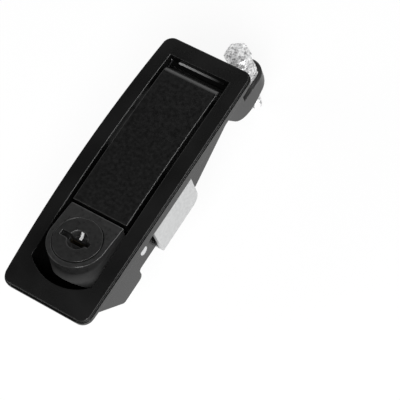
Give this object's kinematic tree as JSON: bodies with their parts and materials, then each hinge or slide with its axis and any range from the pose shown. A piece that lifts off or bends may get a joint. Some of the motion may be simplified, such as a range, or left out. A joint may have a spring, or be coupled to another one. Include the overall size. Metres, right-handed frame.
{
  "type": "case toggle latch",
  "caption": "Flush case latch: crowned black bezel with a lift-up lever, a push-down lock block with a key plug, and a pawl arm with a hex grip bolt behind the panel.",
  "frame": {"origin": "centre of the bezel, on the panel's front face where the flange seats", "axes": "+Z out of the panel, +Y along the latch from the lock to the pawl, +X across it to the right"},
  "size_m": [0.0434, 0.1401, 0.0711],
  "materials": {
    "black_coat": "satin black powder coat on die-cast zinc",
    "black_lock": "satin black coat, slightly smoother",
    "zinc_sheet": "bright zinc plated sheet",
    "zinc_bolt": "bright zinc plated, turned and cold formed",
    "pin_steel": "ground steel",
    "spring_steel": "drawn spring wire",
    "lock_brass": "stamped",
    "lock_zinc": "plain die-cast"
  },
  "bodies": {
    "housing": {"housing": "black_coat", "lever_pivot_pin": "pin_steel", "pivot_pin_clip": "spring_steel", "trigger_pivot_pin": "pin_steel", "trigger_pin_clip": "spring_steel", "mounting_bracket": "zinc_sheet", "bracket_washers": "zinc_bolt", "bracket_screws": "zinc_bolt", "lever_spring": "spring_steel", "trigger_springs": "spring_steel"},
    "lever": {"lever": "black_coat", "drive_pin": "pin_steel", "pawl_arm": "black_coat", "captive_nut": "zinc_bolt", "grip_washer": "zinc_bolt", "jam_nut": "zinc_bolt"},
    "grip_bolt": {"grip_bolt": "zinc_bolt"},
    "trigger": {"lock_block": "black_lock", "lock_sleeve": "lock_zinc"},
    "plug": {"lock_plug": "black_lock", "tumbler_wafers": "lock_brass", "lock_cam": "zinc_sheet", "cam_screw": "zinc_bolt"}
  },
  "joints": [
    {"name": "lever_lift", "type": "hinge", "parent": "housing", "child": "lever", "pos_m": [0, 0.0415, -0.0037], "axis": [-1, 0, 0], "range_deg": [0, 70]},
    {"name": "grip_adjust", "type": "slide", "parent": "lever", "child": "grip_bolt", "axis": [0, 0, 1], "range_m": [-0.005, 0.01]},
    {"name": "trigger_press", "type": "hinge", "parent": "housing", "child": "trigger", "pos_m": [0, -0.02, -0.0111], "axis": [1, 0, 0], "range_deg": [0, 10], "stiffness_Nm_per_rad": 1, "springref_deg": -5.73, "deforming": ["trigger_springs"]},
    {"name": "key_turn", "type": "hinge", "parent": "trigger", "child": "plug", "pos_m": [0, -0.03325, 0.00787], "axis": [0, 0.1736, 0.9848], "range_deg": [0, 90]}
  ]
}
